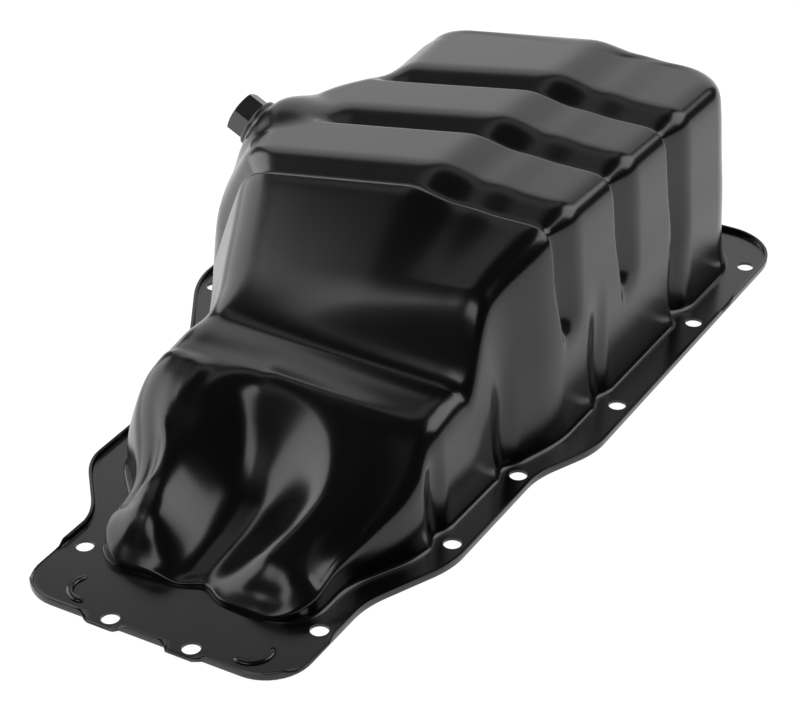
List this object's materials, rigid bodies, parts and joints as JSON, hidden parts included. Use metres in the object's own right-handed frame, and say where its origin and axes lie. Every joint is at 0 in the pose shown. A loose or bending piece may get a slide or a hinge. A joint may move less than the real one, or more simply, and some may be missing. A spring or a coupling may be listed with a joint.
{
  "type": "engine oil pan",
  "caption": "Pressed steel engine oil pan with a deep ribbed sump, a shallow scooped nose, a bolted lipped flange and a drain plug.",
  "frame": {"origin": "under the middle of the bounding box, in the flange face plane", "axes": "+X towards the deep end, +Y towards the drain plug side, +Z from the flange face towards the top of the upturned sump"},
  "size_m": [0.3708, 0.2108, 0.0972],
  "materials": {
    "black_enamel": "semi-gloss black enamel",
    "zinc_steel": "dull zinc plate",
    "washer_metal": "soft crush washer"
  },
  "bodies": {
    "pan": {"pan_shell": "black_enamel", "drain_weld_nut": "black_enamel"},
    "washer": {"drain_plug_washer": "washer_metal"},
    "plug": {"drain_plug": "zinc_steel"}
  },
  "joints": [
    {"name": "plug_lift", "type": "slide", "parent": "pan", "child": "washer", "axis": [0, 0.891, 0.454], "range_m": [0, 0.012]},
    {"name": "plug_turn", "type": "hinge", "parent": "washer", "child": "plug", "pos_m": [0.0579, 0.08495, 0.07001], "axis": [0, 0.891, 0.454], "range_deg": [0, 2880]}
  ],
  "couplings": [
    {"joint": "plug_turn", "follows": "plug_lift", "rad_per_m": 4188.8}
  ]
}
